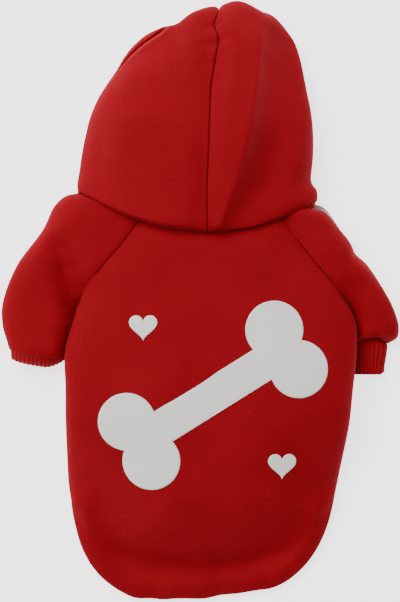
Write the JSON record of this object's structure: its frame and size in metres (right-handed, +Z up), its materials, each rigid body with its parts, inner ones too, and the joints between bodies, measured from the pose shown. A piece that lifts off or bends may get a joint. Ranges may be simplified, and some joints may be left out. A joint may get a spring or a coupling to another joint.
{
  "type": "dog hoodie",
  "caption": "Red fleece hoodie for a small dog, lying on its belly, with raglan sleeves, ribbed cuffs, a raised hood and a pale grey film print on the back.",
  "frame": {"origin": "on the floor, below the middle of the garment's box as it lies on its belly", "axes": "+Y from the back hem to the hood, +Z up from the floor through the back, +X to the right seen from above with the hood at the far side"},
  "size_m": [0.298, 0.4462, 0.0611],
  "materials": {
    "red_fleece": "matte cotton-blend sweatshirt fleece, fine knit outside and brushed inside",
    "red_rib": "matte 1x1 rib knit",
    "white_film": "satin heat-pressed vinyl film",
    "white_tape": "matte woven polyester tape"
  },
  "bodies": {
    "root": {"back_panel": "red_fleece", "belly_panel": "red_fleece", "sleeve_left": "red_fleece", "sleeve_right": "red_fleece", "cuff_left": "red_rib", "cuff_right": "red_rib", "hood_left": "red_fleece", "hood_right": "red_fleece", "neck_tape": "white_tape", "print_bone": "white_film", "print_heart_left": "white_film", "print_heart_right": "white_film"}
  },
  "joints": []
}
